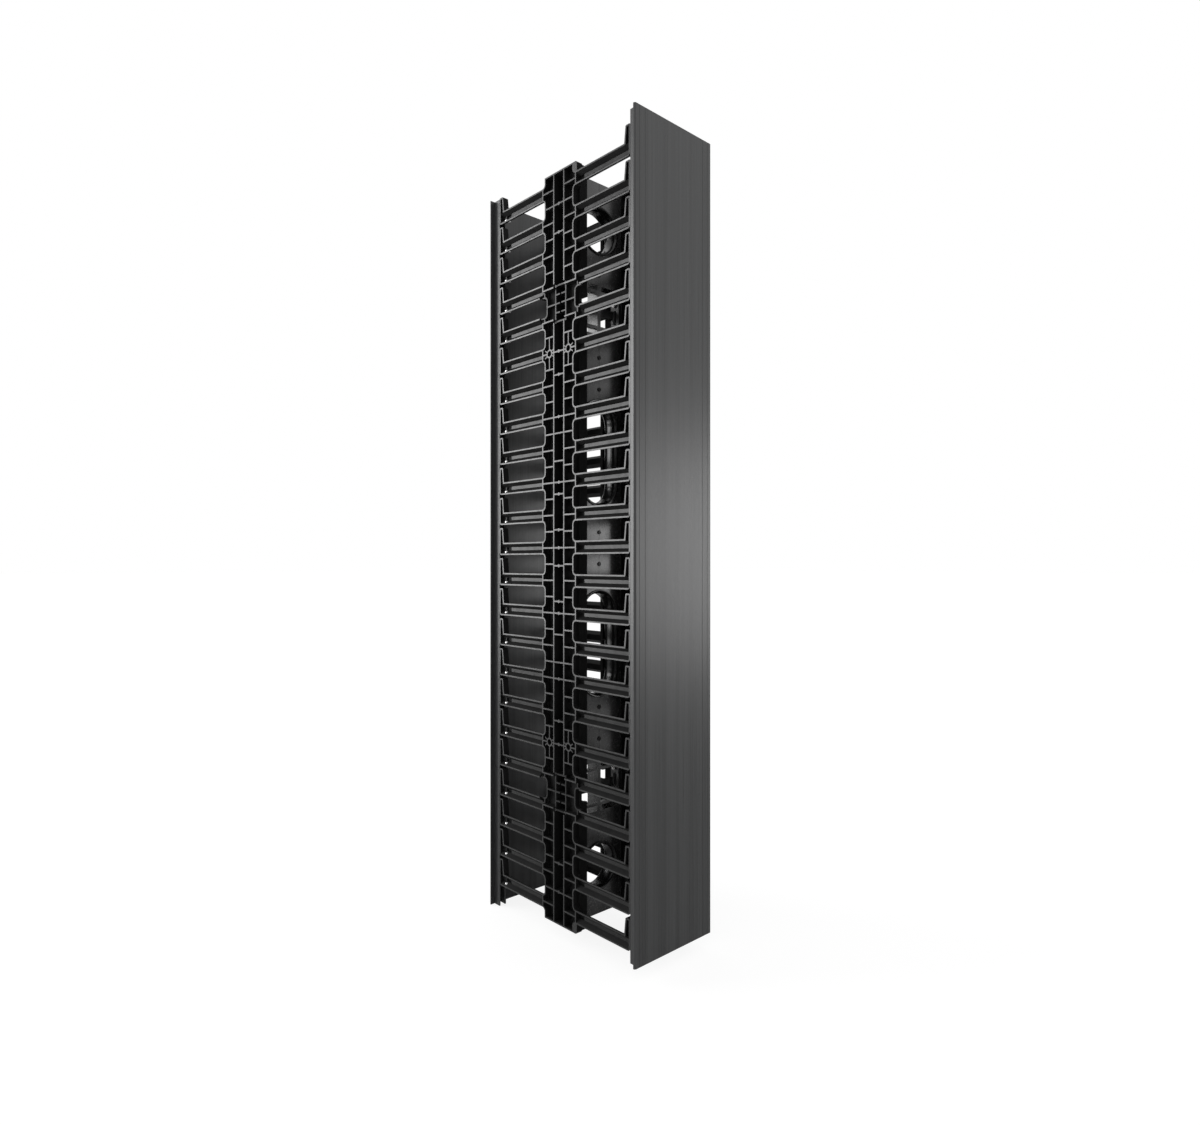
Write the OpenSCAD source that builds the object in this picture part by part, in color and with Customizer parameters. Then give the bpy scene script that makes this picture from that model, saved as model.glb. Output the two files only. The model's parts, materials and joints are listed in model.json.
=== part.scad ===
// Vertical cable manager for the side of an equipment rack. Two walls of
// moulded fingers stand on either side of a mid panel with pass-through holes,
// steel brackets tie the walls together, and a cover snaps on front and rear.
// X runs across the width, Y from front (-) to rear (+), Z up. The origin is
// the centre of the left line of rack bolts, on the seat of the bolt heads.

/* [Rack pitch] */
// Height of one rack unit, which is the pitch of the fingers
unit_h = 44.45; // [40:0.05:50]
// Number of fingers in a row
finger_count = 23; // [23:2:31]

/* [Walls] */
// Width over both walls
comb_w = 129.6; // [110:0.1:200]
// Thickness of a wall at its spine
wall_w = 22; // [18:0.5:30]
// Depth of a spine, front to rear
spine_d = 60.6; // [50:0.1:90]
// Step by which a spine's inner layer stands out past its outer layer
spine_step = 3; // [1:0.5:6]
// Thickness of a spine's outer layer
shell_x = 9.5; // [7:0.5:12]
// Thickness of the floor of the spine's pockets
floor_t = 4; // [2:0.5:6]
// Thickness of the ribs and rims
rib_t = 2; // [1.2:0.1:3]
// Distance between the two ribs that border the middle channel
channel_d = 21.2; // [16:0.1:30]
// Radius of the small round bosses on the channel's ribs
pip_r = 2.2; // [1:0.1:3]
// Outer radius of the star bosses
star_r = 6; // [4:0.5:7]
// Thickness of the web between the outer and the inner pockets
web_t = 3; // [2:0.5:5]
// Width of the small slots in the web
vent_d = 4; // [2:0.5:6]
// Height of the small slots in the web
vent_h = 8; // [4:0.5:12]
// Distance of the small slots from a finger's middle
vent_z = 8.5; // [7.5:0.5:12]

/* [Fingers] */
// Depth over the finger tips, front to rear
comb_d = 273.6; // [220:0.1:330]
// Height of a finger
finger_h = 17.9; // [14:0.1:22]
// Thickness of a finger across the wall
finger_x = 9.5; // [8:0.5:12]
// Height of a finger's back, inside the wall
finger_back_h = 7.2; // [5:0.1:10]
// Straight land on a finger's rim before its sides slope
finger_land = 1; // [0.5:0.1:2]
// Depth of the channel in a finger
recess_x = 5.5; // [3:0.5:7]
// Height of the flat web in a finger's channel
web_h = 4.7; // [3:0.1:7]
// Radius where a finger meets its spine
gap_r = 5; // [2:0.5:8]
// Length of the ribbed root of a finger
root_d = 4.3; // [3:0.1:6]
// Length of the deep part of a front finger's channel, next to the root
ramp_d = 11; // [5:0.5:20]
// Length of the window in a rear finger's web, next to the tip
window_d = 12; // [6:0.5:20]
// Depth of the tip at its foot
tip_d = 10.3; // [8:0.1:14]
// Depth of the tip at its top
tip_top_d = 8; // [6:0.1:12]
// Rise of the tip above the finger
tip_rise = 21.8; // [12:0.1:24]
// Outer radius of the tip's lower corner
tip_r = 4; // [1:0.5:6]
// Radius of the tip's top corners
tip_top_r = 1.6; // [0.5:0.1:3]

/* [Snap lugs] */
// Length of a lug beyond the finger's tip
lug_d = 7.2; // [5:0.1:10]
// Thickness of a lug's neck
lug_neck = 5.6; // [4:0.1:7]
// Length of the thicker bead at the lug's end
bead_d = 3.5; // [2:0.1:5]
// Running clearance between a lug's bead and the cover's hooks
bead_gap = 0.1; // [0.05:0.01:0.3]

/* [Covers] */
// Width of a cover
cover_w = 144; // [125:0.5:220]
// Length of a cover
cover_len = 1048; // [1030:0.5:1420]
// Thickness of a cover's face
cover_t = 3; // [2:0.1:4]
// Radius of the long edges of a cover's face
cover_r = 2.6; // [1:0.1:3]
// Height of the front cover's middle above the middle finger
front_lift = 12.2; // [-20:0.1:20]
// Height of the rear cover's middle above the middle finger
rear_lift = -5.5; // [-20:0.1:20]
// Thickness of a cover's legs
leg_t = 1.7; // [1.2:0.1:2.5]
// Depth of a cover's legs
leg_d = 12.1; // [8:0.1:20]
// Clear width of the socket between a pair of legs
socket_w = 8.4; // [7.5:0.1:10]
// Reach of the hook at the end of a leg
hook_x = 0.5; // [0.3:0.05:1]
// Height of a hook
hook_d = 2; // [1:0.1:3]
// Gap between the legs and the finger tips
leg_gap = 0.5; // [0.3:0.1:1]
// Depth of the fine lines along the cover's face
line_cut = 0.35; // [0.2:0.05:0.8]
// How far a fine line lies from the edge
line_inset = 8; // [5:0.5:15]

/* [Mid panel] */
// Thickness of the mid panel
panel_t = 21; // [14:0.5:28]
// Thickness of the mid panel's front skin
skin_t = 2.5; // [1.5:0.5:4]
// Gap at the seam between the two halves of the panel
seam_gap = 0.4; // [0.1:0.1:1]
// Clear width of the pass-through holes
hole_w = 56.6; // [40:0.2:60]
// Distance between the centres of a long hole's round ends
hole_straight = 82; // [60:0.5:90]
// Width of the rounded rim around a hole
rim_w = 6; // [4:0.5:8]
// Depth of the rounded rim
rim_d = 25; // [18:0.5:32]
// Wall of the rim where it passes through the panel
rim_wall = 2.7; // [2:0.1:4]
// Height of the long holes' centres, in rack units from the middle
long_hole_unit = 3; // [2.9:0.05:3.1]
// Height of the round holes' centres, in rack units from the middle
round_hole_unit = 10; // [9.8:0.05:10.1]
// Radius of the bosses around the seam screws
seam_boss_r = 4.5; // [3.5:0.1:6]

/* [Mounting] */
// Width of the rack bolt slots
bolt_slot_w = 7; // [5:0.1:8]
// Length of the rack bolt slots
bolt_slot_len = 21; // [14:0.5:21]
// Height of the brackets, in rack units from the middle
bracket_unit = 7.5; // [7.5:0.5:8]
// Depth by which the mounting zone is set back
zone_drop = 3.5; // [1:0.5:5]
// Length of the finger roots that are set back with the mounting zone
zone_root = 11.5; // [6:0.5:14]
// Height between the end ribs of the mounting zone
zone_h = 49.2; // [48:0.1:50]
// Gap in the broken ribs of the mounting zone
stub_gap = 3; // [1:0.5:6]
// Clear depth around a rack bolt's head, above its seat
seat_clear = 6; // [4:0.5:8]
// Height of the notches in the inner layer beside the mounting zone
notch_h = 15; // [8:0.5:20]
// Distance of these notches from the middle of the spine
notch_y = 15.6; // [13:0.1:20]
// Thickness of the bracket's steel
steel_t = 2.5; // [1.5:0.5:3]
// Height of the bracket's end flanges
flange_h = 44; // [42:0.5:44]
// Depth of the bracket's end flanges
flange_d = 15.5; // [13:0.5:18]
// Height of the bracket's arm
arm_h = 13.4; // [8:0.1:20]
// Height of the arm's middle above the middle of the bracket
arm_z = 4.3; // [0:0.1:8]
// Height of the opening in the mid panel for the bracket
zone_open = 68; // [56:1:70]
// Height of the rails across that opening
rail_h = 4; // [2:0.5:4]

/* [Screws] */
// Radius of the bracket screws
screw_r = 2; // [1.5:0.1:2.5]
// Radius of the bracket screws' heads
head_r = 3.8; // [3:0.1:4.2]
// Height of the bracket screws' heads
head_h = 2.6; // [1.5:0.1:4]
// Distance of a bracket screw from its bolt slot's centre
screw_z = 18.4; // [18:0.1:18.8]
// Height of the bracket nuts
nut_h = 3.2; // [2:0.1:5]
// Width of the bracket nuts across their flats
nut_w = 7; // [6:0.1:8]
// Radius of the seam screws
seam_r = 1.5; // [1:0.1:2]
// Radius of the seam screws' heads
seam_head_r = 2.9; // [2.5:0.1:3.2]
// Height of the seam screws' heads
seam_head_h = 1.6; // [1:0.1:3]
// Height of the seam nuts
seam_nut_h = 2.4; // [1.5:0.1:4]
// Width of the seam nuts across their flats
seam_nut_w = 5.5; // [5:0.1:6]
// Clearance of a screw in its hole
screw_gap = 0.1; // [0.05:0.05:0.4]

/* [Hidden] */
$fn = 48;
eps = 1;
wall_h = finger_count * unit_h;
half_unit = unit_h / 2;
last = (finger_count - 1) / 2;
pocket_x = wall_w - floor_t;
x_out = -pocket_x;
x_mid = x_out + comb_w / 2;
x_in = floor_t;
spine_y = spine_d / 2;
finger_d = comb_d / 2 - spine_y;
gap_h = unit_h - finger_h;
rib_y = channel_d / 2;
column_y = rib_y + rib_t / 2;
root_y = spine_y + root_d - rib_t / 2;
// Heights of the middle channel's ribs, in rack units from the middle
plain_rib_units = [2.65, 3.5];
pip_rib_units = [0, 0.55, 1.64, 2, 4, 5.29, 6, 9.63, 10.5];
star_unit = 6;
star_spokes = 6;
spoke_t = 1.5;
zone_z = bracket_unit * unit_h;
// Snap fit
lug_x = leg_t + socket_w / 2;
bead_w = socket_w - 2 * hook_x - 2 * bead_gap;
overall_d = comb_d + 2 * (leg_gap + leg_d + cover_t);
lug_top = finger_h / 2 + tip_rise - 3;
lug_foot = finger_h / 2 - 1;
// Holes and rims
hole_r = hole_w / 2;
rim_r = hole_r + rim_w;
seat_r = hole_r + rim_wall;
long_z = long_hole_unit * unit_h;
round_z = round_hole_unit * unit_h;
seam_screw_units = [0.5, 5, 6, 8.6];
half_w = comb_w / 2 - wall_w;
strut_w = 6;
rail_d = 6;
strip_y = flange_d / 2 - steel_t;
screw_len = floor_t + steel_t + nut_h + 1.5;

// Extrudes a (Y, Z) outline from x0 to x1
module slab_x(x0, x1) {
    translate([x0, 0, 0]) rotate([90, 0, 90]) linear_extrude(x1 - x0) children();
}

// Extrudes an (X, Z) outline from y0 to y1
module slab_y(y0, y1) {
    translate([0, y1, 0]) rotate([90, 0, 0]) linear_extrude(y1 - y0) children();
}

// A rectangle given by its low and high corners
module area(lo, hi) {
    translate(lo) square(hi - lo);
}

// A block given by its low and high corners
module block(lo, hi) {
    translate(lo) cube(hi - lo);
}

// Places a wall's parts, whose outer face is at x = 0, on the left or right
module wall_place(side) {
    if (side < 0)
        translate([x_out, 0, 0]) children();
    else
        translate([x_out + comb_w, 0, 0]) mirror([1, 0, 0]) children();
}

// Keeps or mirrors a front piece, which points along -Y, to the rear
module face_place(front) {
    if (front) mirror([0, 1, 0]) children();
    else children();
}

// Repeats children above and below the middle
module both_ends() {
    children();
    mirror([0, 0, 1]) children();
}

// ---- Walls ----

// The gap between two fingers, closed towards the spine, grown by a rim
module gap_outline(grow) {
    r = gap_r + grow;
    half = gap_h / 2 + grow;
    y = spine_y - grow;
    area([y, -half + r], [comb_d, half - r]);
    area([y + r, -half], [comb_d, half]);
    for (s = [-1, 1]) translate([y + r, s * (half - r)]) circle(r);
}

// Pockets of one side column, from the channel's rib to the finger roots
module column_pockets() {
    difference() {
        area([column_y, -wall_h / 2 + rib_t], [root_y, wall_h / 2 - rib_t]);
        for (k = [-last - 1 : last]) translate([0, (k + 0.5) * unit_h]) gap_outline(rib_t);
        for (j = [-finger_count + 1 : finger_count - 1])
            area([0, j * half_unit - rib_t / 2], [comb_d, j * half_unit + rib_t / 2]);
        for (s = [-1, 1]) translate([star_y(), s * star_unit * unit_h]) star();
    }
    for (s = [-1, 1]) translate([star_y(), s * star_unit * unit_h]) circle(star_r - rib_t);
}

// Middle of a side column
function star_y() = (column_y + spine_y - rib_t) / 2;

// A round boss with ribs that reach the walls of its pocket
module star() {
    circle(star_r);
    intersection() {
        area([column_y - star_y() - eps, -half_unit], [star_y() - column_y + eps, half_unit]);
        for (a = [0 : star_spokes - 1]) rotate(30 + a * 360 / star_spokes)
            translate([0, -spoke_t / 2]) square([unit_h, spoke_t]);
    }
}

// Pockets of the middle channel above the middle of the wall
module channel_pockets() {
    half = rib_y - rib_t / 2;
    difference() {
        area([-half, -wall_h / 2 + rib_t], [half, wall_h / 2 - rib_t]);
        for (u = concat(plain_rib_units, pip_rib_units), s = [-1, 1])
            area([-half, s * u * unit_h - rib_t / 2], [half, s * u * unit_h + rib_t / 2]);
        for (u = pip_rib_units, s = [-1, 1]) translate([0, s * u * unit_h]) circle(pip_r);
        for (s = [-1, 1]) translate([0, s * zone_z]) zone_ribs(half);
    }
}

// Broken ribs across the mounting zone, with whole ones at its ends
module zone_ribs(half) {
    for (j = [-2 : 2]) translate([0, j * zone_h / 4]) difference() {
        area([-half, -rib_t / 2], [half, rib_t / 2]);
        if (abs(j) < 2) square([stub_gap, 2 * rib_t], center = true);
    }
}

// The set-back area of both mounting zones
module zone_outline() {
    for (s = [-1, 1]) translate([0, s * zone_z]) {
        area([-column_y, -zone_h / 2 - rib_t], [column_y, zone_h / 2 + rib_t]);
        area([-spine_y - zone_root, rib_t / 2 - half_unit], [spine_y + zone_root, half_unit - rib_t / 2]);
    }
}

// A slot with round ends, upright
module upright_slot(w, len) {
    straight = (len - w) / 2;
    area([-w / 2, -straight], [w / 2, straight]);
    for (s = [-1, 1]) translate([0, s * straight]) circle(w / 2);
}

// One spine: two layers with pockets open to the outside
module spine(side) {
    color([0.13, 0.13, 0.135]) wall_place(side) difference() {
        union() {
            slab_x(0, wall_w) area([-spine_y, -wall_h / 2], [spine_y, wall_h / 2]);
            slab_x(shell_x, wall_w)
                area([-spine_y - spine_step, -wall_h / 2], [spine_y + spine_step, wall_h / 2]);
        }
        slab_x(-eps, pocket_x) channel_pockets();
        for (m = [0, 1]) mirror([0, m, 0]) {
            slab_x(-eps, shell_x) column_pockets();
            slab_x(shell_x + web_t, wall_w + eps) inner_pockets();
            slab_x(shell_x, wall_w) vents();
            slab_x(shell_x + web_t, wall_w + eps) for (s = [-1, 1])
                area([notch_y, s * zone_z - notch_h / 2], [spine_d, s * zone_z + notch_h / 2]);
        }
        slab_x(-eps, zone_drop) zone_outline();
        slab_x(pocket_x - eps, wall_w + eps) screw_holes();
        slab_x(pocket_x - seat_clear, wall_w + eps)
            for (s = [-1, 1]) translate([0, s * zone_z]) upright_slot(bolt_slot_w, bolt_slot_len);
    }
}

// Screw holes through the channel's floor
module screw_holes() {
    for (s = [-1, 1], t = [-1, 1])
        translate([0, s * zone_z + t * screw_z]) circle(screw_r + screw_gap);
}

// Slots through a side column's web, above and below each finger's root
module vents() {
    for (k = [-last : last], s = [-1, 1]) if (abs(k) != star_unit)
        translate([column_y + vent_d / 2, k * unit_h + s * vent_z])
            square([vent_d, vent_h], center = true);
}

// Pockets of one side column that open to the inside
module inner_pockets() {
    difference() {
        area([column_y, -wall_h / 2 + rib_t], [root_y, wall_h / 2 - rib_t]);
        for (k = [-last - 1 : last]) translate([0, (k + 0.5) * unit_h]) gap_outline(rib_t);
        area([spine_y - rib_t, -wall_h / 2], [comb_d, wall_h / 2]);
        for (k = [-last : last]) translate([0, k * unit_h])
            area([0, -rib_t / 2], [comb_d, rib_t / 2]);
    }
}

// ---- Fingers ----

// Side view of a finger that points along +Y from the spine's edge
module finger_outline() {
    half = finger_h / 2;
    difference() {
        union() {
            area([0, -half], [finger_d, half]);
            area([0, -half - gap_r], [gap_r, half + gap_r]);
            tip_outline(0);
        }
        for (s = [-1, 1]) translate([gap_r, s * (half + gap_r)]) circle(gap_r);
        difference() {
            area([finger_d - tip_r, -half - eps], [finger_d + eps, -half + tip_r]);
            translate([finger_d - tip_r, -half + tip_r]) circle(tip_r);
        }
    }
}

// Side view of the tip, taken in by a rim
module tip_outline(rim) {
    top = finger_h / 2 + tip_rise - rim;
    y1 = finger_d - rim;
    slant = tip_d - tip_top_d;
    r = max(tip_top_r - rim, 0.2);
    union() {
        polygon([[finger_d - tip_d + rim, finger_h / 2 - rim], [y1, finger_h / 2 - rim],
            [y1, top - r], [y1 - r, top], [finger_d - tip_top_d + rim + r, top],
            [finger_d - tip_top_d + rim, top - r]]);
        translate([y1 - r, top - r]) circle(r);
        translate([finger_d - tip_top_d + rim + r, top - r]) circle(r);
    }
}

// Side view of a snap lug: round below, sloping above
module lug_outline() {
    r = lug_d - 1;
    foot = -lug_foot + 2;
    difference() {
        polygon([[finger_d - eps, foot], [finger_d + lug_d, foot], [finger_d + lug_d, lug_top - lug_d],
            [finger_d, lug_top], [finger_d - eps, lug_top]]);
        difference() {
            area([finger_d + lug_d - r, foot - eps], [finger_d + lug_d + eps, foot + r]);
            translate([finger_d + lug_d - r, foot + r]) circle(r);
        }
    }
}

// Cuts one sloping side of a finger; s is 1 above and -1 below
module slope_cut(s, y0, y1) {
    half = finger_h / 2;
    slab_y(y0, y1) polygon([[finger_land, s * half], [finger_x + eps, s * finger_back_h / 2],
        [finger_x + eps, s * (half + eps)], [finger_land, s * (half + eps)]]);
}

// The channel in a finger, open to the outside
module finger_channel(front) {
    rim = finger_h / 2 - rib_t;
    deep_x = front ? finger_x - rib_t : finger_x + eps;
    deep_y = front ? root_d + rib_t / 2 : finger_d - tip_d - window_d;
    slab_y(root_d + rib_t / 2, finger_d - rib_t)
        polygon([[-eps, -rim], [0, -rim], [recess_x, -web_h / 2], [recess_x, web_h / 2],
            [0, rim], [-eps, rim]]);
    block([-eps, deep_y, -web_h / 2], [deep_x, deep_y + (front ? ramp_d : window_d), web_h / 2]);
    slab_x(-eps, recess_x) tip_outline(rib_t);
    slab_x(-eps, finger_x - rib_t) root_pocket();
}

// The part of the side column's pocket that reaches into a finger's root
module root_pocket() {
    difference() {
        area([-eps, -half_unit], [root_d - rib_t / 2, half_unit]);
        for (s = [-1, 1]) translate([-spine_y, s * half_unit]) gap_outline(rib_t);
        area([-2 * eps, -rib_t / 2], [gap_r, rib_t / 2]);
        for (s = [-1, 1]) area([-2 * eps, s > 0 ? finger_h / 2 + gap_r - rib_t : -unit_h],
            [gap_r, s > 0 ? unit_h : -finger_h / 2 - gap_r + rib_t]);
    }
}

// A rounded tab on an end finger, which lines up with the next unit
module end_tab(up) {
    tab_d = gap_r + 2;
    r = 3;
    top = half_unit;
    slab_x(0, shell_x) mirror([0, up ? 0 : 1]) {
        area([0, finger_h / 2 - eps], [tab_d - r, top]);
        area([0, finger_h / 2 - eps], [tab_d, top - r]);
        translate([tab_d - r, top - r]) circle(r);
    }
}

// Side of finger k that faces a mounting zone: 1 above, -1 below, else 0
function zone_side(k) = abs(abs(k) - bracket_unit) < 1 ? sign(k) * sign(bracket_unit - abs(k)) : 0;

module finger(front, k) {
    translate([0, spine_y, k * unit_h]) difference() {
        union() {
            difference() {
                slab_x(0, finger_x) finger_outline();
                slope_cut(-1, zone_side(k) < 0 ? zone_root : gap_r, finger_d + eps);
                slope_cut(1, zone_side(k) > 0 ? zone_root : gap_r, finger_d - tip_d);
            }
            slab_x(lug_x - lug_neck / 2, lug_x + lug_neck / 2) lug_outline();
            intersection() {
                slab_x(lug_x - bead_w / 2, lug_x + bead_w / 2) lug_outline();
                block([0, finger_d + lug_d - bead_d, -unit_h], [wall_w, comb_d, unit_h]);
            }
            if (front && abs(k) == last) end_tab(k > 0);
        }
        finger_channel(front);
        if (zone_side(k) != 0) mirror([0, 0, zone_side(k) < 0 ? 1 : 0]) slab_x(-eps, 2 * zone_drop)
            area([root_d + rib_t / 2, rib_t / 2], [zone_root, finger_h / 2 - rib_t]);
    }
}

// One row of fingers on a wall
module finger_row(side, front) {
    color([0.15, 0.15, 0.155]) wall_place(side) face_place(front) difference() {
        for (k = [-last : last]) finger(front, k);
        slab_x(-eps, zone_drop) zone_outline();
    }
}

// ---- Mid panel ----

// Keeps what lies to the right of the seam, and mirrors it for the left half
module half_place(side) {
    translate([x_mid, 0, 0]) mirror([side < 0 ? 1 : 0, 0, 0]) intersection() {
        children();
        block([seam_gap / 2, -overall_d, -wall_h], [half_w, overall_d, wall_h]);
    }
}

// Outline of a hole of radius r in the (X, Z) plane
module hole_outline(r, straight) {
    if (straight > 0) area([-r, -straight / 2], [r, straight / 2]);
    for (s = [-1, 1]) translate([0, s * straight / 2]) circle(r);
}

// One ribbed field of the panel's rear side, between two heights
module field_pockets(z0, z1) {
    x0 = half_w - rib_t;
    x1 = seam_gap / 2 + rib_t;
    w = x0 - x1;
    h = z1 - z0 - 2 * rib_t;
    for (s = [-1, 1]) difference() {
        area([s > 0 ? x1 : -x0, z0 + rib_t], [s > 0 ? x0 : -x1, z1 - rib_t]);
        translate([s * (x0 + x1) / 2, (z0 + z1) / 2]) for (t = [-1, 1])
            rotate(t * atan2(h, w)) square([norm([w, h]) + 4 * rib_t, rib_t], center = true);
    }
}

// Fields with pockets in the upper half: below, between and above the holes
module panel_fields() {
    long_lo = long_z - hole_straight / 2 - rim_r;
    long_hi = long_z + hole_straight / 2 + rim_r;
    field_pockets(rib_t / 2, long_lo);
    field_pockets(long_hi, zone_z - zone_open / 2);
    field_pockets(zone_z + zone_open / 2, round_z - rim_r);
    field_pockets(round_z + rim_r, wall_h / 2);
}

// The open mounting zone of the panel, with its middle strut and front rails
module zone_opening() {
    top = zone_open / 2;
    difference() {
        block([-half_w - eps, -panel_t, -top], [half_w + eps, panel_t, top]);
        block([-strut_w / 2, -panel_t, -top], [strut_w / 2, panel_t, top]);
        for (s = [-1, 1]) translate([0, 0, s * zone_h / 2])
            block([-half_w, -panel_t / 2, -rail_h / 2], [half_w, -panel_t / 2 + rail_d, rail_h / 2]);
    }
    block([-strut_w, strip_y - leg_gap, arm_z - arm_h / 2 - leg_gap],
        [strut_w, strip_y + steel_t + leg_gap, arm_z + arm_h / 2 + leg_gap]);
}

module mid_panel(side) {
    color([0.16, 0.16, 0.165]) half_place(side) difference() {
        slab_y(-panel_t / 2, panel_t / 2) area([-half_w, -wall_h / 2], [half_w, wall_h / 2]);
        both_ends() {
            slab_y(-panel_t / 2 + skin_t, panel_t / 2 + eps) difference() {
                panel_fields();
                for (u = seam_screw_units) translate([0, u * unit_h]) circle(seam_boss_r);
            }
            slab_y(-panel_t, panel_t) translate([0, long_z]) hole_outline(seat_r, hole_straight);
            slab_y(-panel_t, panel_t) translate([0, round_z]) hole_outline(seat_r, 0);
            translate([0, 0, zone_z]) zone_opening();
            slab_y(-panel_t, panel_t)
                for (u = seam_screw_units) translate([0, u * unit_h]) circle(seam_r + screw_gap);
        }
    }
}

// Section of a hole's rim: distance from the hole's centre, then depth
function rim_section() = let(
    half = rim_d / 2, flare = rim_w - 1, steps = 14,
    throat = [for (i = [0 : steps]) let(a = -90 + 180 * i / steps)
        [hole_r + flare * (1 - cos(a)), half * sin(a)]])
    concat(throat, [[rim_r - 0.4, half], [rim_r, half - 0.4], [rim_r, panel_t / 2],
        [seat_r, panel_t / 2], [seat_r, -panel_t / 2], [rim_r, -panel_t / 2],
        [rim_r, -half + 0.4], [rim_r - 0.4, -half]]);

// A ring turned about the Y axis
module rim_ring() {
    rotate([90, 0, 0]) rotate_extrude($fn = 96) polygon(rim_section());
}

// The rounded rim of one hole
module hole_rim(straight) {
    if (straight > 0) {
        for (s = [-1, 1]) translate([0, 0, s * straight / 2]) intersection() {
            rim_ring();
            block([-2 * rim_r, -rim_d, s > 0 ? 0 : -2 * rim_r], [2 * rim_r, rim_d, s > 0 ? 2 * rim_r : 0]);
        }
        for (m = [0, 1]) mirror([m, 0, 0])
            translate([0, 0, -straight / 2]) linear_extrude(straight) polygon(rim_section());
    } else rim_ring();
}

module hole_rims(side, z, straight) {
    color([0.07, 0.07, 0.075]) half_place(side)
        both_ends() translate([0, 0, z]) hole_rim(straight);
}

// ---- Brackets and fasteners ----

// Bent steel bracket between the two spines, centred on its bolt slots
module bracket(s) {
    x0 = x_in;
    x1 = 2 * x_mid - x_in;
    y0 = -flange_d / 2;
    color([0.35, 0.36, 0.37]) translate([0, 0, s * zone_z]) mirror([0, 0, s > 0 ? 0 : 1]) {
        difference() {
            for (x = [x0, x1 - steel_t])
                block([x, y0, -flange_h / 2], [x + steel_t, y0 + flange_d, flange_h / 2]);
            slab_x(x0 - eps, x1 + eps) {
                upright_slot(bolt_slot_w, bolt_slot_len);
                for (t = [-1, 1]) translate([0, t * screw_z]) circle(screw_r + screw_gap);
            }
        }
        slab_y(strip_y, strip_y + steel_t)
            area([x0, arm_z - arm_h / 2], [x1, arm_z + arm_h / 2]);
    }
}

// Repeats children at a bracket's four screw places
module screw_places(s) {
    for (side = [-1, 1]) wall_place(side) translate([pocket_x, 0, s * zone_z])
        for (t = [-1, 1]) translate([0, 0, t * screw_z]) rotate([0, 90, 0]) children();
}

// Pan head screw whose head sits on z = 0 and whose shank points along +Z
module pan_screw(r, len, hr, hh) {
    cylinder(r = r, h = len);
    translate([0, 0, -hh]) difference() {
        union() {
            translate([0, 0, hh * 0.4]) cylinder(r = hr, h = hh * 0.6);
            cylinder(r1 = hr * 0.8, r2 = hr, h = hh * 0.4);
        }
        for (a = [0, 90]) rotate(a) translate([0, 0, hh * 0.2])
            cube([hr * 1.1, hr * 0.28, hh * 0.9], center = true);
    }
}

module hex_nut(w, h, bore) {
    difference() {
        cylinder(r = w / sqrt(3), h = h, $fn = 6);
        translate([0, 0, -eps]) cylinder(r = bore, h = h + 2 * eps);
    }
}

module bracket_screws(s) {
    color([0.5, 0.5, 0.52]) screw_places(s) pan_screw(screw_r, screw_len, head_r, head_h);
}

module bracket_nuts(s) {
    color([0.5, 0.5, 0.52]) screw_places(s)
        translate([0, 0, floor_t + steel_t]) hex_nut(nut_w, nut_h, screw_r + screw_gap / 2);
}

// Repeats children at the seam's screw places, pointing to the rear
module seam_places() {
    for (u = seam_screw_units, s = [-1, 1])
        translate([x_mid, -panel_t / 2, s * u * unit_h]) rotate([-90, 0, 0]) children();
}

module seam_screws() {
    color([0.1, 0.1, 0.1]) seam_places()
        pan_screw(seam_r, panel_t + seam_nut_h + 1, seam_head_r, seam_head_h);
}

module seam_nuts() {
    color([0.5, 0.5, 0.52]) seam_places()
        translate([0, 0, panel_t]) hex_nut(seam_nut_w, seam_nut_h, seam_r + screw_gap / 2);
}

// ---- Covers ----

// Section of a cover in the (X, Y) plane: face at y = 0, legs along +Y
module cover_section() {
    half = cover_w / 2;
    difference() {
        union() {
            area([-half + cover_r, 0], [half - cover_r, cover_t]);
            area([-half, cover_r], [half, cover_t]);
            for (s = [-1, 1]) translate([s * (half - cover_r), cover_r]) intersection() {
                circle(cover_r);
                area([-cover_r, -cover_r], [cover_r, cover_t - cover_r]);
            }
        }
        for (s = [-1, 1], x = [half - line_inset, half - line_inset - leg_t - socket_w])
            polygon([[s * x - line_cut, -eps], [s * x + line_cut, -eps], [s * x + line_cut, 0],
                [s * x, line_cut], [s * x - line_cut, 0]]);
    }
    for (m = [0, 1]) mirror([m, 0]) translate([-comb_w / 2, cover_t]) {
        leg();
        translate([2 * leg_t + socket_w, 0]) mirror([1, 0]) leg();
    }
}

// One leg of a cover with its hook, which points to +X
module leg() {
    area([0, -eps / 2], [leg_t, leg_d]);
    polygon([[leg_t - eps / 2, leg_d - hook_d], [leg_t, leg_d - hook_d],
        [leg_t + hook_x, leg_d - hook_d + hook_x], [leg_t + hook_x, leg_d - hook_x],
        [leg_t, leg_d], [leg_t - eps / 2, leg_d]]);
}

module cover(front) {
    color([0.27, 0.275, 0.285]) translate([x_mid, 0, (front ? front_lift : rear_lift) - cover_len / 2])
        mirror([0, front ? 0 : 1, 0]) translate([0, -overall_d / 2, 0])
            linear_extrude(cover_len) cover_section();
}

// ---- Sub-parts ----

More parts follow.
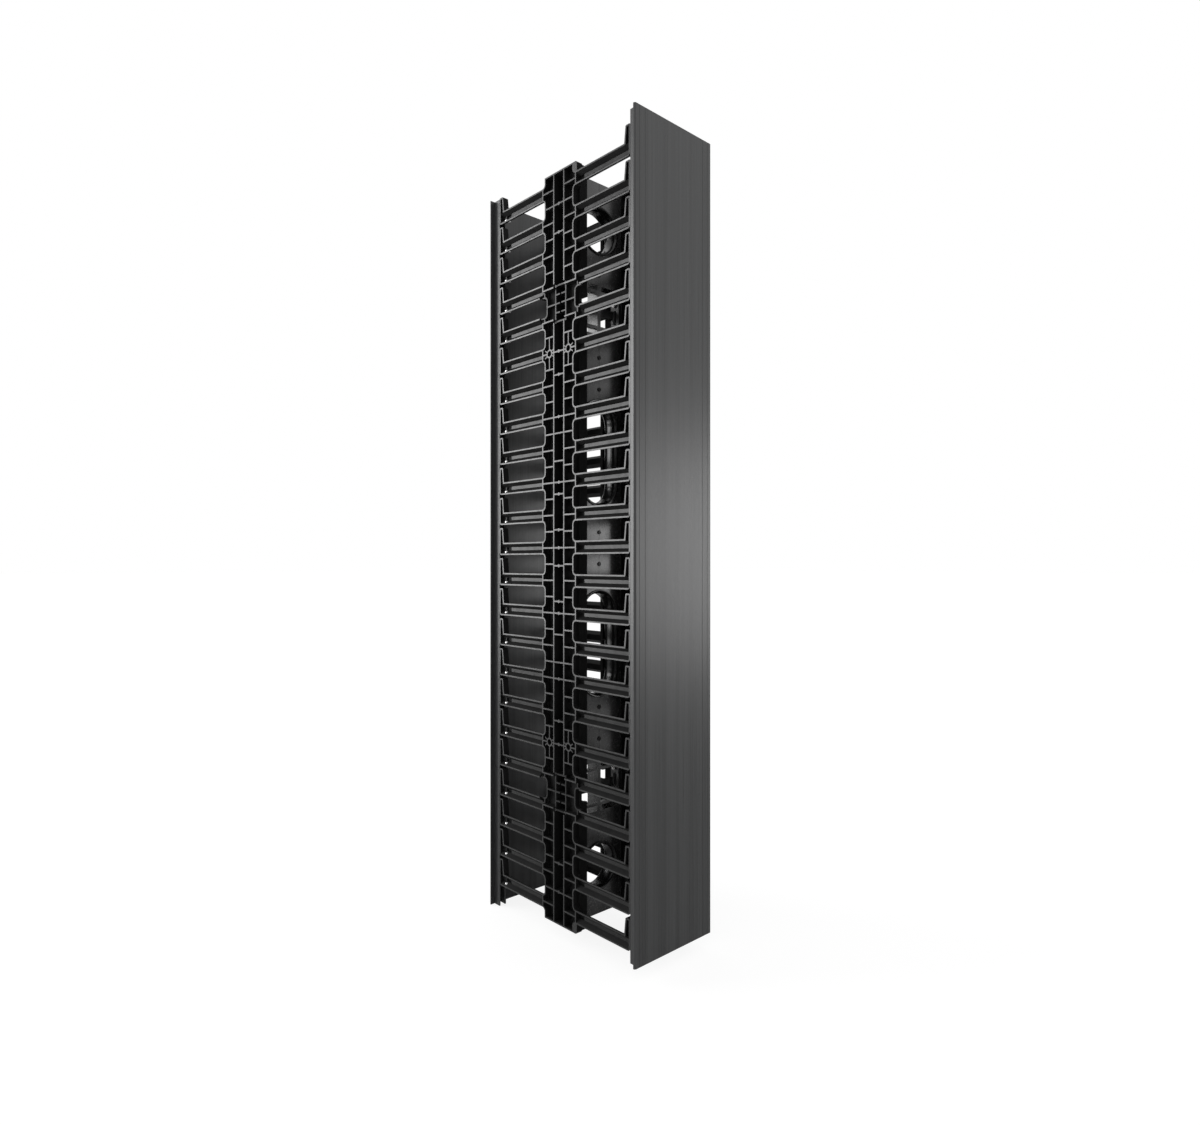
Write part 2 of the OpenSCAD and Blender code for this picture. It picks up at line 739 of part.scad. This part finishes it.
module left_spine() { spine(-1); }
module right_spine() { spine(1); }
module left_front_fingers() { finger_row(-1, true); }
module left_rear_fingers() { finger_row(-1, false); }
module right_front_fingers() { finger_row(1, true); }
module right_rear_fingers() { finger_row(1, false); }
module left_mid_panel() { mid_panel(-1); }
module right_mid_panel() { mid_panel(1); }
module left_long_hole_rims() { hole_rims(-1, long_z, hole_straight); }
module right_long_hole_rims() { hole_rims(1, long_z, hole_straight); }
module left_round_hole_rims() { hole_rims(-1, round_z, 0); }
module right_round_hole_rims() { hole_rims(1, round_z, 0); }
module upper_bracket() { bracket(1); }
module lower_bracket() { bracket(-1); }
module upper_bracket_screws() { bracket_screws(1); }
module lower_bracket_screws() { bracket_screws(-1); }
module upper_bracket_nuts() { bracket_nuts(1); }
module lower_bracket_nuts() { bracket_nuts(-1); }
module front_cover() { cover(true); }
module rear_cover() { cover(false); }

left_spine();
right_spine();
left_front_fingers();
left_rear_fingers();
right_front_fingers();
right_rear_fingers();
left_mid_panel();
right_mid_panel();
left_long_hole_rims();
right_long_hole_rims();
left_round_hole_rims();
right_round_hole_rims();
upper_bracket();
lower_bracket();
upper_bracket_screws();
lower_bracket_screws();
upper_bracket_nuts();
lower_bracket_nuts();
seam_screws();
seam_nuts();
front_cover();
rear_cover();
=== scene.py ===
"""Looks of a vertical cable manager: two moulded walls of fingers, a mid panel, brackets and covers.

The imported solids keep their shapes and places, and get procedural finishes. The small pins at
the tips of the rear fingers are made here.
"""

from __future__ import annotations

import json
import logging
import math
from dataclasses import dataclass
from enum import Enum
from typing import Any, Mapping, Optional, Sequence, Union

import bpy
from mathutils import Matrix, Vector

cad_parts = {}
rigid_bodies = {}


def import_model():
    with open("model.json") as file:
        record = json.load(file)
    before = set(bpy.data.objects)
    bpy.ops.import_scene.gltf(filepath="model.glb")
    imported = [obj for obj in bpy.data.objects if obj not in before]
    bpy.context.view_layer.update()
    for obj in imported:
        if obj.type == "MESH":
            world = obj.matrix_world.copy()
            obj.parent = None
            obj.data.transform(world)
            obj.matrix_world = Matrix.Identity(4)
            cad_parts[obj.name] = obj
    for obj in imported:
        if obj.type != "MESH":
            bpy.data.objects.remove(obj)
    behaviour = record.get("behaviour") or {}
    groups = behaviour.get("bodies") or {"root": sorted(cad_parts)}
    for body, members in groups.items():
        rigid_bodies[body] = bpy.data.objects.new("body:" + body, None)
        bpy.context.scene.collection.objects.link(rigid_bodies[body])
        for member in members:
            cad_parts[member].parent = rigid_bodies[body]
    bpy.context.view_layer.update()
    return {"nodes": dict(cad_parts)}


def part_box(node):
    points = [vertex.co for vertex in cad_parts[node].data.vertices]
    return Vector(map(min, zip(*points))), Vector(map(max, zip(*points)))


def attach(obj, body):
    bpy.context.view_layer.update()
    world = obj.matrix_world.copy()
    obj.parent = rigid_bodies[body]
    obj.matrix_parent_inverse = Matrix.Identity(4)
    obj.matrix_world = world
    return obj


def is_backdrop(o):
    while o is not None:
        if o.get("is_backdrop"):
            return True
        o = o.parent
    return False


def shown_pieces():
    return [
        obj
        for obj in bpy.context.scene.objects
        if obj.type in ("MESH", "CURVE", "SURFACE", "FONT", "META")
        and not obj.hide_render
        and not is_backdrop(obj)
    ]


LOG = logging.getLogger("cable_manager")
MM_PER_M = 1000.0
WHITE = (1.0, 1.0, 1.0, 1.0)

Colour = tuple[float, float, float]
Triple = tuple[float, float, float]


class Body(Enum):
    """The rigid bodies that the pieces ride on."""

    FRAME = "frame"
    FRONT_COVER = "front_cover"
    REAR_COVER = "rear_cover"


class Side(Enum):
    """The two walls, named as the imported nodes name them."""

    LEFT = "left"
    RIGHT = "right"

    @property
    def outward(self) -> int:
        """Returns the direction along X in which this wall faces outwards."""
        return -1 if self is Side.LEFT else 1


class Face(Enum):
    """The two open faces of the cable manager."""

    FRONT = "front"
    REAR = "rear"


def grey(level: float, warm: float = 0.0) -> Colour:
    """Returns a linear near-grey; warm above 0 tints it warm, below 0 cool."""
    return (level * (1 + warm), level, level * (1 - warm))


def rgba(colour: Colour) -> tuple[float, float, float, float]:
    """Returns the colour with full alpha."""
    return (*colour, 1.0)


class Wire:
    """A node socket or a number that can be used in a Python expression."""

    def __init__(self, bench: NodeBench, source: Union[float, bpy.types.NodeSocket]) -> None:
        """Keeps the bench that new nodes go to, and the socket or number."""
        self.bench = bench
        self.source = source

    def _math(self, operation: str, *others: Union[Wire, float]) -> Wire:
        """Adds one Math node.

        Args:
            operation: The node's operation.
            others: The further operands.

        Returns:
            The node's output.
        """
        operands = dict(enumerate((self, *others)))
        return self.bench.node("ShaderNodeMath", {"operation": operation}, operands)

    def __add__(self, other: Union[Wire, float]) -> Wire:
        """Adds."""
        return self._math("ADD", other)

    __radd__ = __add__

    def __sub__(self, other: Union[Wire, float]) -> Wire:
        """Subtracts."""
        return self._math("SUBTRACT", other)

    def __rsub__(self, other: float) -> Wire:
        """Subtracts from a number."""
        return Wire(self.bench, other)._math("SUBTRACT", self)

    def __mul__(self, other: Union[Wire, float]) -> Wire:
        """Multiplies."""
        return self._math("MULTIPLY", other)

    __rmul__ = __mul__

    def __truediv__(self, other: Union[Wire, float]) -> Wire:
        """Divides."""
        return self._math("DIVIDE", other)

    def __rtruediv__(self, other: float) -> Wire:
        """Divides a number."""
        return Wire(self.bench, other)._math("DIVIDE", self)

    def __or__(self, other: Wire) -> Wire:
        """Takes the larger of two masks."""
        return self._math("MAXIMUM", other)

    def __abs__(self) -> Wire:
        """Takes the absolute value."""
        return self._math("ABSOLUTE")

    def ramp(self, low: float, high: float) -> Wire:
        """Returns the value mapped smoothly from 0 at low to 1 at high.

        Args:
            low: The value that gives 0.
            high: The value that gives 1.

        Returns:
            The mapped value.
        """
        return self.bench.node(
            "ShaderNodeMapRange",
            {"interpolation_type": "SMOOTHSTEP"},
            {"Value": self, "From Min": low, "From Max": high},
        )


class NodeBench:
    """Adds nodes to one node tree."""

    def __init__(self, tree: bpy.types.NodeTree) -> None:
        """Keeps the tree's nodes and links, and clears it."""
        self.nodes = tree.nodes
        self.links = tree.links
        self.nodes.clear()

    def feed(self, socket: bpy.types.NodeSocket, value: Any) -> None:
        """Links or sets one input.

        Args:
            socket: The input.
            value: A Wire, a number, a vector, a colour or a material.
        """
        if isinstance(value, Wire):
            value = value.source
        if isinstance(value, bpy.types.NodeSocket):
            self.links.new(value, socket)
        else:
            socket.default_value = value

    def node(
        self,
        kind: str,
        settings: Optional[Mapping[str, Any]] = None,
        values: Optional[Mapping[Union[str, int], Any]] = None,
        output: Union[str, int] = 0,
    ) -> Wire:
        """Adds one node.

        Args:
            kind: The node's type.
            settings: Properties, which are set first.
            values: Values or links of the inputs, by name or index.
            output: The output to return.

        Returns:
            The chosen output.
        """
        node = self.nodes.new(kind)
        for key, value in (settings or {}).items():
            setattr(node, key, value)
        for key, value in (values or {}).items():
            self.feed(node.inputs[key], value)
        return Wire(self, node.outputs[output])

    def background_rays(self) -> Wire:
        """Returns 1 for camera, glossy and transmission rays, which see the background."""
        path = self.nodes.new("ShaderNodeLightPath")
        camera, glossy, through = (
            Wire(self, path.outputs[f"Is {kind} Ray"]) for kind in ("Camera", "Glossy", "Transmission")
        )
        return camera | (glossy | through)


class ShaderTree(NodeBench):
    """Builds one material's nodes."""

    def __init__(self, name: str) -> None:
        """Makes a material with an output and a Principled shader.

        Args:
            name: The material's name.
        """
        self.material = bpy.data.materials.new(name)
        self.material.use_nodes = True
        super().__init__(self.material.node_tree)
        self.shader = self.nodes.new("ShaderNodeBsdfPrincipled")
        self.surface = self.nodes.new("ShaderNodeOutputMaterial").inputs["Surface"]
        self.feed(self.surface, self.shader.outputs[0])

    def place(self, scale: Triple = (1, 1, 1)) -> Wire:
        """Returns the point on the object in millimetres, scaled along each axis.

        Args:
            scale: Factors along X, Y and Z.

        Returns:
            The vector.
        """
        where = self.node("ShaderNodeTexCoord", output="Object")
        factors = [MM_PER_M * value for value in scale]
        return self.node("ShaderNodeMapping", values={"Vector": where, "Scale": factors})

    def noise(self, where: Wire, scale: float, detail: float = 3.0, rough: float = 0.5) -> Wire:
        """Returns noise between about 0 and 1.

        Args:
            where: The vector.
            scale: Features per unit of the vector.
            detail: Octaves.
            rough: Weight of the finer octaves.

        Returns:
            The value.
        """
        return self.node(
            "ShaderNodeTexNoise",
            {"noise_dimensions": "3D"},
            {"Vector": where, "Scale": scale, "Detail": detail, "Roughness": rough},
        )

    def mix(self, factor: Wire, low: Colour, high: Colour) -> Wire:
        """Mixes two colours.

        Args:
            factor: 0 for the first colour and 1 for the second.
            low: The first colour.
            high: The second colour.

        Returns:
            The mixed colour.
        """
        node = self.nodes.new("ShaderNodeMix")
        node.data_type = "RGBA"
        self.feed(self.colour_socket(node.inputs, "Factor_Float"), factor)
        self.feed(self.colour_socket(node.inputs, "A_Color"), rgba(low))
        self.feed(self.colour_socket(node.inputs, "B_Color"), rgba(high))
        return Wire(self, self.colour_socket(node.outputs, "Result_Color"))

    @staticmethod
    def colour_socket(sockets: Sequence[bpy.types.NodeSocket], name: str) -> bpy.types.NodeSocket:
        """Returns the socket of a Mix node that has this identifier."""
        return next(socket for socket in sockets if socket.identifier == name)

    def bump(self, height: Wire, depth: float) -> None:
        """Bumps the surface.

        Args:
            height: The height, 0 to 1.
            depth: The height of 1, in metres.
        """
        normal = self.node("ShaderNodeBump", values={"Distance": depth, "Height": height})
        self.feed(self.shader.inputs["Normal"], normal)

    def set(self, **values: Any) -> None:
        """Sets inputs of the Principled shader; underscores stand for spaces."""
        for key, value in values.items():
            self.feed(self.shader.inputs[key.replace("_", " ")], value)


class FormTree(NodeBench):
    """Builds a Geometry Nodes tree and grows plain meshes from it."""

    def __init__(self, name: str) -> None:
        """Makes an empty tree with a geometry output.

        Args:
            name: The tree's name.
        """
        self.group = bpy.data.node_groups.new(name, "GeometryNodeTree")
        super().__init__(self.group)
        self.entry = self.nodes.new("NodeGroupInput")
        self.group.interface.new_socket("Geometry", in_out="OUTPUT", socket_type="NodeSocketGeometry")

    def input(self, name: str, kind: str) -> Wire:
        """Adds a named input.

        Args:
            name: The input's name.
            kind: The socket's kind, such as Float or Vector.

        Returns:
            The input's value.
        """
        self.group.interface.new_socket(name, in_out="INPUT", socket_type=f"NodeSocket{kind}")
        return Wire(self, self.entry.outputs[name])

    def vector(self, **parts: Union[Wire, float]) -> Wire:
        """Returns a vector of X, Y and Z, of which those left out are 0."""
        return self.node("ShaderNodeCombineXYZ", values=parts)

    def moved(self, form: Wire, **change: Wire) -> Wire:
        """Returns the geometry with its Translation, Rotation or Scale changed."""
        return self.node("GeometryNodeTransform", values={"Geometry": form, **change})

    def joined(self, *forms: Wire) -> Wire:
        """Returns several geometries as one."""
        node = self.nodes.new("GeometryNodeJoinGeometry")
        for form in forms:
            self.feed(node.inputs[0], form)
        return Wire(self, node.outputs[0])

    def close(self, form: Wire, finish: bpy.types.Material) -> None:
        """Ends the tree in Realize Instances and Set Material.

        Args:
            form: The geometry.
            finish: The material of all of it.
        """
        real = self.node("GeometryNodeRealizeInstances", values={"Geometry": form})
        dressed = self.node("GeometryNodeSetMaterial", values={"Geometry": real, "Material": finish})
        output = self.nodes.new("NodeGroupOutput")
        self.feed(output.inputs[0], dressed)

    def grow(self, name: str, values: Mapping[str, Any]) -> bpy.types.Object:
        """Grows one piece.

        Args:
            name: The piece's name.
            values: The values of the tree's inputs, by name.

        Returns:
            The piece, with a plain mesh and no modifier.
        """
        piece = bpy.data.objects.new(name, bpy.data.meshes.new(name))
        bpy.context.collection.objects.link(piece)
        modifier = piece.modifiers.new("form", "NODES")
        modifier.node_group = self.group
        for item in self.group.interface.items_tree:
            if item.in_out == "INPUT":
                modifier[item.identifier] = values[item.name]
        graph = bpy.context.evaluated_depsgraph_get()
        mesh = bpy.data.meshes.new_from_object(piece.evaluated_get(graph), depsgraph=graph)
        piece.modifiers.remove(modifier)
        piece.data = mesh
        return piece


@dataclass(frozen=True)
class MouldedPlastic:
    """Injection-moulded black plastic with a fine spark-eroded texture.

    Faces that lay flat against the mould's polished plate, near a wall's outer plane, shine;
    the slopes and pockets between them stay matt. Lengths are in millimetres.
    """

    name: str
    base: Colour = grey(0.010)
    light: Colour = grey(0.016)
    roughness: float = 0.34
    spread: float = 0.08
    specular: float = 0.28
    # Fine texture of the mould's surface
    grain: float = 0.9
    grain_depth: float = 0.00003
    grain_roughness: float = 0.06
    # Slow changes of shade where the melt flowed, longer along the height
    flow: float = 0.035
    flow_stretch: Triple = (1, 1, 0.35)
    flow_share: float = 0.7
    haze: float = 0.25
    # Sheen of the flat faces, and how far handling has dulled it
    polish: float = 0.0
    polish_roughness: float = 0.26
    rub: float = 0.12
    rub_loss: float = 0.35
    # Depth from the outer plane at which the sheen halves, and at which it ends
    half_polish: tuple[float, float] = (0.3, 1.2)
    no_polish: tuple[float, float] = (6.3, 7.5)
    # Middle of both walls, and half the width over them
    middle: float = 46.8
    half_width: float = 64.8

    def build(self) -> bpy.types.Material:
        """Builds the finish.

        Returns:
            The material.
        """
        tree = ShaderTree(self.name)
        point = tree.place()
        flow = tree.noise(tree.place(self.flow_stretch), self.flow)
        grain = tree.noise(point, self.grain, 2.0, 0.6)
        haze = tree.noise(point, self.haze, 4.0, 0.65)
        shade = flow.ramp(0.3, 0.75) * self.flow_share + grain * (1 - self.flow_share)
        smoothest = self.roughness - (self.spread + self.grain_roughness) / 2
        tree.set(
            Base_Color=tree.mix(shade, self.base, self.light),
            Roughness=haze * self.spread + grain * self.grain_roughness + smoothest,
            Specular_IOR_Level=self.specular,
        )
        if self.polish > 0:
            rubbed = tree.noise(point, self.rub).ramp(0.15, 0.65) * self.rub_loss + (1 - self.rub_loss)
            tree.set(
                Coat_Weight=self.flat_faces(tree) * rubbed * self.polish,
                Coat_Roughness=self.polish_roughness,
            )
        tree.bump(grain, self.grain_depth)
        return tree.material

    def flat_faces(self, tree: ShaderTree) -> Wire:
        """Masks the faces that look straight out of a wall, near its outer plane.

        Args:
            tree: The material's nodes.

        Returns:
            The mask, from 1 on the outer plane to 0 deep in the pockets.
        """
        normal = tree.node("ShaderNodeTexCoord", output="Normal")
        facing = abs(tree.node("ShaderNodeSeparateXYZ", values={0: normal}))
        across = tree.node("ShaderNodeSeparateXYZ", values={0: tree.place()})
        depth = self.half_width - abs(across - self.middle)
        shallow = 1 - depth.ramp(*self.half_polish) * 0.5 - depth.ramp(*self.no_polish) * 0.5
        return facing.ramp(0.90, 0.97) * shallow


@dataclass(frozen=True)
class ExtrudedPlastic:
    """Extruded cover plastic with faint die lines along its length."""

    name: str
    base: Colour = grey(0.018, -0.02)
    light: Colour = grey(0.052, -0.02)
    roughness: float = 0.31
    spread: float = 0.20
    # Die lines, per millimetre across the cover, drawn out along its height
    line_stretch: Triple = (1, 1, 0.004)
    fine_lines: float = 1.3
    broad_lines: float = 0.09
    line_share: float = 0.45
    line_depth: float = 0.00003
    speck: float = 1.6
    speck_share: float = 0.1
    speck_roughness: float = 0.05

    def build(self) -> bpy.types.Material:
        """Builds the finish.

        Returns:
            The material.
        """
        tree = ShaderTree(self.name)
        along = tree.place(self.line_stretch)
        fine = tree.noise(along, self.fine_lines, 3.0, 0.6)
        broad = tree.noise(along, self.broad_lines, 2.0)
        speck = tree.noise(tree.place(), self.speck, 2.0)
        lines = broad.ramp(0.3, 0.7) * self.line_share + fine.ramp(0.3, 0.7) * self.line_share
        smoothest = self.roughness - (self.spread + self.speck_roughness) / 2
        tree.set(
            Base_Color=tree.mix(lines + speck * self.speck_share, self.base, self.light),
            Roughness=fine * self.spread + speck * self.speck_roughness + smoothest,
        )
        tree.bump(fine * 0.8 + speck * 0.2, self.line_depth)
        return tree.material


@dataclass(frozen=True)
class SteelFinish:
    """Plated, painted or blackened steel of small fasteners and brackets."""

    name: str
    base: Colour = grey(0.35)
    dark: Colour = grey(0.22)
    metallic: float = 1.0
    roughness: float = 0.38
    # Cloudy patches of the plating, and the specks of its surface, per millimetre
    patch: float = 0.6
    patch_roughness: float = 0.15
    speck: float = 6.0
    speck_roughness: float = 0.06
    speck_depth: float = 0.00002
    smoothing: float = 0.1

    def build(self) -> bpy.types.Material:
        """Builds the finish.

        Returns:
            The material.
        """
        tree = ShaderTree(self.name)
        point = tree.place()
        patch = tree.noise(point, self.patch, 4.0, 0.6)
        speck = tree.noise(point, self.speck, 2.0)
        smoothest = self.roughness - self.smoothing
        tree.set(
            Base_Color=tree.mix(patch.ramp(0.35, 0.7), self.dark, self.base),
            Metallic=self.metallic,
            Roughness=patch * self.patch_roughness + speck * self.speck_roughness + smoothest,
        )
        tree.bump(speck, self.speck_depth)
        return tree.material


class Wardrobe:
    """All finishes, built once and kept by name."""

    def __init__(self) -> None:
        """Builds the finishes."""
        self.wall = MouldedPlastic("wall_black", roughness=0.52, specular=0.04, polish=1.0).build()
        self.finger = MouldedPlastic(
            "finger_black", base=grey(0.011), light=grey(0.018), roughness=0.50, specular=0.04,
            polish=1.0,
        ).build()
        self.panel = MouldedPlastic(
            "panel_black", base=grey(0.024), light=grey(0.085), roughness=0.26, spread=0.16,
            grain=0.6, specular=0.7,
        ).build()
        self.rim = MouldedPlastic(
            "rim_gloss", base=grey(0.004), light=grey(0.007), roughness=0.20, spread=0.06,
            grain_depth=0.00001, specular=0.4,
        ).build()
        self.cover = ExtrudedPlastic("cover_satin").build()
        self.bracket = SteelFinish(
            "bracket_black", base=grey(0.05), dark=grey(0.03), metallic=0.0, roughness=0.42
        ).build()
        self.zinc = SteelFinish("zinc_plate", base=grey(0.50, 0.02), dark=grey(0.32)).build()
        self.pin = SteelFinish(
            "polished_pin", base=grey(0.72), dark=grey(0.60), roughness=0.22, patch=0.3
        ).build()
        self.blackened = SteelFinish(
            "blackened_steel", base=grey(0.03), dark=grey(0.015), metallic=0.6, roughness=0.35
        ).build()


def dress(piece: bpy.types.Object, finish: bpy.types.Material) -> None:
    """Gives every slot of an object one finish.

    Args:
        piece: The object.
        finish: The material.
    """
    if not piece.material_slots:
        piece.data.materials.append(finish)
    for slot in piece.material_slots:
        slot.material = finish


@dataclass
class Walls:
    """The two spines with their rows of fingers."""

    nodes: Mapping[str, bpy.types.Object]
    wardrobe: Wardrobe

    def build(self) -> None:
        """Dresses the spines and fingers."""
        for side in Side:
            dress(self.nodes[f"{side.value}_spine"], self.wardrobe.wall)
            for face in Face:
                dress(self.nodes[f"{side.value}_{face.value}_fingers"], self.wardrobe.finger)


@dataclass
class TipPins:
    """The small dome-ended pins that sit in the slots of the rear fingers, sizes in metres."""

    wardrobe: Wardrobe
    count: int = 23
    pitch: float = 0.04445
    radius: float = 0.0022
    dome: float = 0.0011
    segments: int = 20
    finger_height: float = 0.0179
    finger_width: float = 0.0095
    lug_depth: float = 0.0072
    tip_depth: float = 0.0103
    below_rim: float = 0.0014

    @property
    def length(self) -> float:
        """Returns the length of a pin's straight part."""
        return self.finger_width - self.below_rim - self.dome

    def tree(self) -> FormTree:
        """Builds the tree that sets one pin at each finger.

        Returns:
            The tree.
        """
        form = FormTree("tip_pins")
        first = form.input("First", "Vector")
        pitch = form.input("Pitch", "Vector")
        count = form.input("Count", "Int")
        radius = form.input("Radius", "Float")
        length = form.input("Length", "Float")
        dome = form.input("Dome", "Float")
        turn = form.input("Turn", "Vector")
        shank = form.node(
            "GeometryNodeMeshCylinder",
            values={"Vertices": self.segments, "Radius": radius, "Depth": length},
        )
        ball = form.node(
            "GeometryNodeMeshUVSphere",
            values={"Segments": self.segments, "Rings": self.segments // 2, "Radius": radius},
        )
        cap = form.moved(
            ball, Scale=form.vector(X=1.0, Y=1.0, Z=dome / radius), Translation=form.vector(Z=length / 2)
        )
        pin = form.moved(form.joined(shank, cap), Rotation=turn)
        smooth = form.node("GeometryNodeSetShadeSmooth", values={"Geometry": pin})
        places = form.node(
            "GeometryNodeMeshLine",
            {"mode": "OFFSET"},
            {"Count": count, "Start Location": first, "Offset": pitch},
        )
        pins = form.node("GeometryNodeInstanceOnPoints", values={"Points": places, "Instance": smooth})
        form.close(pins, self.wardrobe.pin)
        return form

    def first_pin(self, side: Side) -> Vector:
        """Finds the middle of the lowest pin of a wall.

        Args:
            side: The wall.

        Returns:
            The point.
        """
        low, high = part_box(f"{side.value}_rear_fingers")
        rim = low[0] if side is Side.LEFT else high[0]
        return Vector((
            rim - side.outward * (self.below_rim + self.dome + self.length / 2),
            high[1] - self.lug_depth - self.tip_depth - self.radius,
            low[2] + self.finger_height / 2,
        ))

    def build(self) -> None:
        """Grows the pins of both walls."""
        form = self.tree()
        for side in Side:
            pins = form.grow(f"{side.value}_tip_pins", {
                "First": self.first_pin(side),
                "Pitch": (0, 0, self.pitch),
                "Count": self.count,
                "Radius": self.radius,
                "Length": self.length,
                "Dome": self.dome,
                "Turn": (0, side.outward * math.pi / 2, 0),
            })
            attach(pins, Body.FRAME.value)


@dataclass
class MidPanel:
    """The panel between the walls, with the rims of its holes."""

    nodes: Mapping[str, bpy.types.Object]
    wardrobe: Wardrobe

    def build(self) -> None:
        """Dresses the panel halves, rims and seam fasteners."""
        for side in Side:
            dress(self.nodes[f"{side.value}_mid_panel"], self.wardrobe.panel)
            for shape in ("long", "round"):
                dress(self.nodes[f"{side.value}_{shape}_hole_rims"], self.wardrobe.rim)
        dress(self.nodes["seam_screws"], self.wardrobe.blackened)
        dress(self.nodes["seam_nuts"], self.wardrobe.zinc)


@dataclass
class Brackets:
    """The steel brackets with their screws and nuts."""

    nodes: Mapping[str, bpy.types.Object]
    wardrobe: Wardrobe

    def build(self) -> None:
        """Dresses the brackets and their fasteners."""
        for level in ("upper", "lower"):
            dress(self.nodes[f"{level}_bracket"], self.wardrobe.bracket)
            dress(self.nodes[f"{level}_bracket_screws"], self.wardrobe.zinc)
            dress(self.nodes[f"{level}_bracket_nuts"], self.wardrobe.zinc)


@dataclass
class Covers:
    """The covers that snap on the finger tips, front and rear."""

    nodes: Mapping[str, bpy.types.Object]
    wardrobe: Wardrobe

    def build(self) -> None:
        """Dresses both covers."""
        for body in (Body.FRONT_COVER, Body.REAR_COVER):
            dress(self.nodes[body.value], self.wardrobe.cover)


@dataclass(frozen=True)
class Softbox:
    """A rectangular soft lamp, placed and sized in metres."""

    name: str
    place: Triple
    aim: Triple
    size: tuple[float, float]
    watts: float

    def build(self) -> None:
        """Adds the lamp, facing its aim and hidden from the camera."""
        data = bpy.data.lights.new(self.name, "AREA")
        data.shape = "RECTANGLE"
        data.size, data.size_y = self.size
        data.energy = self.watts
        lamp = bpy.data.objects.new(self.name, data)
        bpy.context.collection.objects.link(lamp)
        towards = Vector(self.aim) - Vector(self.place)
        turn = towards.to_track_quat("-Z", "Y").to_matrix().to_4x4()
        lamp.matrix_world = Matrix.Translation(Vector(self.place)) @ turn
        lamp.visible_camera = False


@dataclass
class Studio:
    """Camera, floor, backdrop and lamps, placed and sized in metres."""

    eye: Triple = (-0.6982, -0.820, -0.020)
    view_right: Triple = (0.735, -0.678, 0)
    sensor: float = 36.0
    focal_share: float = 785 / 1200
    near: float = 0.01
    # One lamp beside each face that the camera sees, where the flat faces mirror it
    lamps: tuple[Softbox, ...] = (
        Softbox("left_softbox", (-2.6, 3.0, 0.0), (0.0, 0.0, 0.0), (2.4, 4.4), 190),
        Softbox("front_softbox", (2.97, -2.43, 0.0), (0.05, -0.1, 0.0), (1.25, 1.3), 21),
    )
    sky: float = 0.6
    floor_z: float = -0.5310
    floor_reach: float = 40.0
    floor_colour: Colour = grey(0.8)
    floor_roughness: float = 0.9
    # Share and strength of the floor's own white, which only the camera sees
    floor_share: float = 0.72
    floor_glow: float = 1.2

    def camera(self) -> None:
        """Adds the camera, level, looking past the left wall and the front cover."""
        data = bpy.data.cameras.new("camera")
        data.sensor_width = self.sensor
        data.lens = self.sensor * self.focal_share
        data.clip_start = self.near
        camera = bpy.data.objects.new("camera", data)
        bpy.context.collection.objects.link(camera)
        right = Vector(self.view_right).normalized()
        up = Vector((0, 0, 1))
        turn = Matrix((right, up, right.cross(up))).transposed().to_4x4()
        camera.matrix_world = Matrix.Translation(Vector(self.eye)) @ turn
        bpy.context.scene.camera = camera

    def backdrop(self) -> None:
        """Makes the world white where it is seen or mirrored, and dimmer as a light."""
        world = bpy.data.worlds.new("studio")
        bpy.context.scene.world = world
        world.use_nodes = True
        bench = NodeBench(world.node_tree)
        seen, soft = (
            bench.node("ShaderNodeBackground", values={"Color": WHITE, "Strength": strength})
            for strength in (1.0, self.sky)
        )
        mixed = bench.node("ShaderNodeMixShader", values={0: bench.background_rays(), 1: soft, 2: seen})
        output = bench.nodes.new("ShaderNodeOutputWorld")
        bench.feed(output.inputs["Surface"], mixed)

    def floor(self) -> None:
        """Adds the pale floor, which keeps the object's soft shadow."""
        mesh = bpy.data.meshes.new("floor")
        reach = self.floor_reach
        corners = [(-reach, -reach), (reach, -reach), (reach, reach), (-reach, reach)]
        mesh.from_pydata([(x, y, self.floor_z) for x, y in corners], [], [(0, 1, 2, 3)])
        floor = bpy.data.objects.new("floor", mesh)
        bpy.context.collection.objects.link(floor)
        tree = ShaderTree("floor_white")
        tree.set(Base_Color=rgba(self.floor_colour), Roughness=self.floor_roughness)
        glow = tree.node("ShaderNodeEmission", values={"Color": WHITE, "Strength": self.floor_glow})
        seen = tree.node("ShaderNodeLightPath", output="Is Camera Ray")
        plain = tree.shader.outputs[0]
        mixed = tree.node(
            "ShaderNodeMixShader", values={0: seen * self.floor_share, 1: Wire(tree, plain), 2: glow}
        )
        tree.feed(tree.surface, mixed)
        dress(floor, tree.material)
        floor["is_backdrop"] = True

    def build(self) -> None:
        """Sets up the whole studio."""
        self.camera()
        for lamp in self.lamps:
            lamp.build()
        self.backdrop()
        self.floor()
        bpy.context.scene.view_settings.view_transform = "Standard"


def main() -> None:
    """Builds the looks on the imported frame."""
    logging.basicConfig(level=logging.INFO, format="%(name)s: %(message)s")
    for leftover in list(bpy.data.objects):
        bpy.data.objects.remove(leftover)
    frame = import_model()
    nodes = frame["nodes"]
    wardrobe = Wardrobe()
    Studio().build()
    for assembly in (
        Walls(nodes, wardrobe),
        TipPins(wardrobe),
        MidPanel(nodes, wardrobe),
        Brackets(nodes, wardrobe),
        Covers(nodes, wardrobe),
    ):
        assembly.build()
        LOG.info("built %s", type(assembly).__name__)
    for piece in sorted(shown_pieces(), key=lambda piece: piece.name):
        LOG.info("piece %s: %d faces", piece.name, len(piece.data.polygons))


if __name__ == "__main__":
    main()
